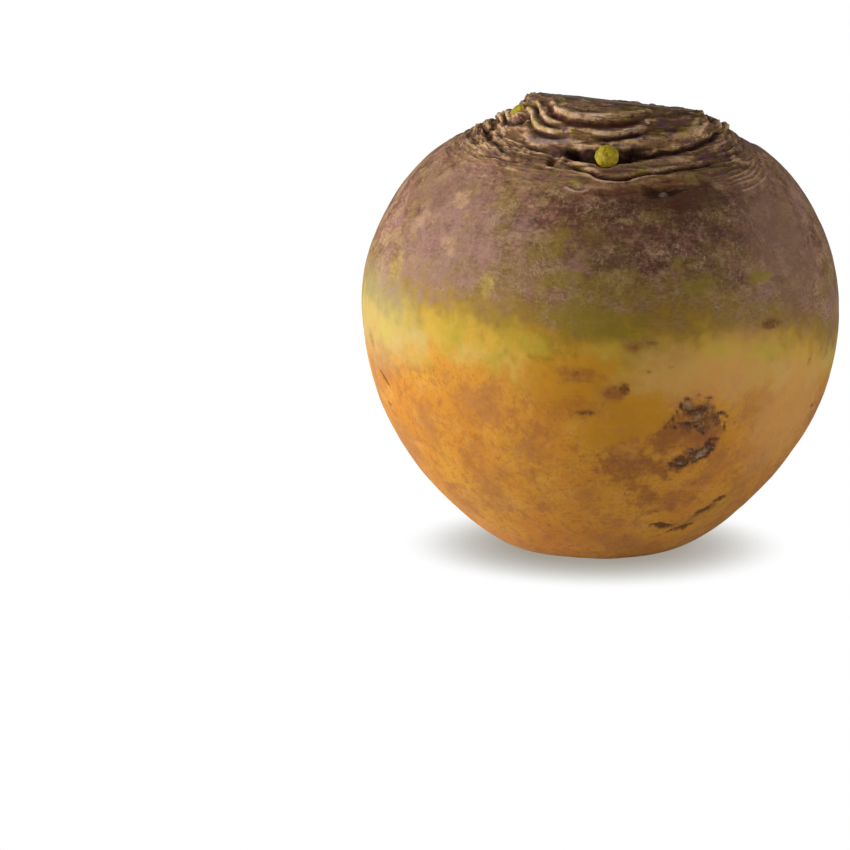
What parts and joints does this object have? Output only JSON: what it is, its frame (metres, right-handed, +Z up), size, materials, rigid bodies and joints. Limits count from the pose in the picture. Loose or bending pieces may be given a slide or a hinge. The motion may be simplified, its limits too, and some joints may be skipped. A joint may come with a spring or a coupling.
{
  "type": "rutabaga",
  "caption": "Whole rutabaga root standing on its trimmed end, with a ridged leaf-scar crown, netted purple shoulders and a tan lower half.",
  "frame": {"origin": "middle of the small flat spot under the root, where it rests", "axes": "+Z up through the root, -Y towards the side with the larger leaf bud, +X to that side's right"},
  "size_m": [0.121, 0.1179, 0.1174],
  "materials": {
    "root_skin": "satin waxy skin, purple-brown with corky netting above, ochre with brown scab marks below",
    "leaf_bud": "satin yellow-green young leaf"
  },
  "bodies": {
    "root": {"rutabaga_root": "root_skin", "crown_bud_front": "leaf_bud", "crown_bud_left": "leaf_bud"}
  },
  "joints": []
}
